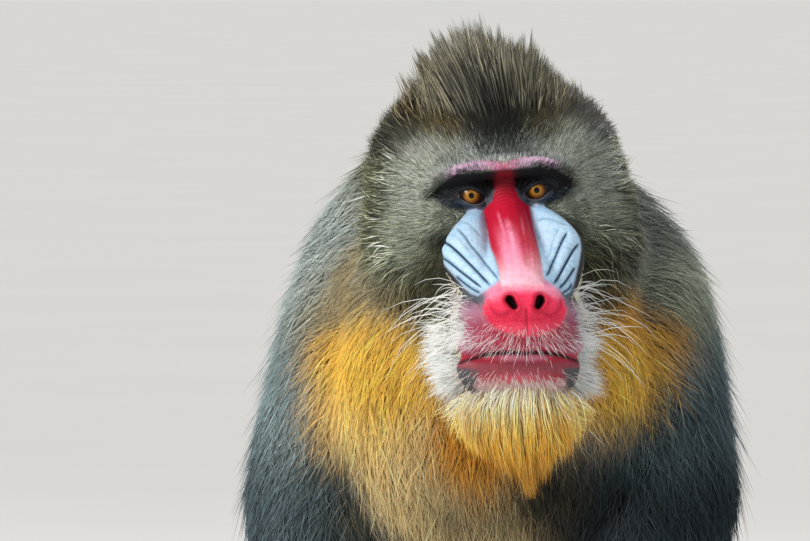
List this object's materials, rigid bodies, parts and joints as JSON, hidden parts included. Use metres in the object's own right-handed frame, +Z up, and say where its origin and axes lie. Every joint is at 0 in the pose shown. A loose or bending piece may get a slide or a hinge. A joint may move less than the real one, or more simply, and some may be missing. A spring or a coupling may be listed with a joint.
{
  "type": "mandrill",
  "caption": "Life-size adult male mandrill sitting on its rump, hands and feet flat on the floor, head lowered and turned a little to its left, with a standing crest and a pointed beard.",
  "frame": {"origin": "on the floor, under the middle of the whole animal's box", "axes": "+Z up, the body faces -Y, +X is the animal's left; the body is alike on both sides of x = 0 and the head is turned towards +X"},
  "size_m": [0.5419, 0.5813, 0.7],
  "materials": {
    "coat_grey": "long dense fur, banded grey and blue-grey",
    "coat_olive": "short dense fur, each hair banded black and yellow-green",
    "coat_gold": "soft hair, orange-yellow paling to cream",
    "face_skin": "bare swollen skin, scarlet bridge and nose between pale blue ridges",
    "dark_skin": "bare dark creased skin",
    "ear_skin": "thin pinkish-grey skin",
    "eye": "wet, amber iris with a round black pupil"
  },
  "bodies": {
    "root": {"beard": "coat_gold", "crest": "coat_olive", "ear_left": "ear_skin", "ear_right": "ear_skin", "eye_left": "eye", "eye_right": "eye", "foot_left": "dark_skin", "foot_right": "dark_skin", "forearm_left": "coat_grey", "forearm_right": "coat_grey", "hand_left": "dark_skin", "hand_right": "dark_skin", "head": "coat_olive", "muzzle": "face_skin", "neck": "coat_grey", "shank_left": "coat_grey", "shank_right": "coat_grey", "tail": "coat_grey", "thigh_left": "coat_grey", "thigh_right": "coat_grey", "trunk": "coat_grey", "upper_arm_left": "coat_grey", "upper_arm_right": "coat_grey"}
  },
  "joints": []
}
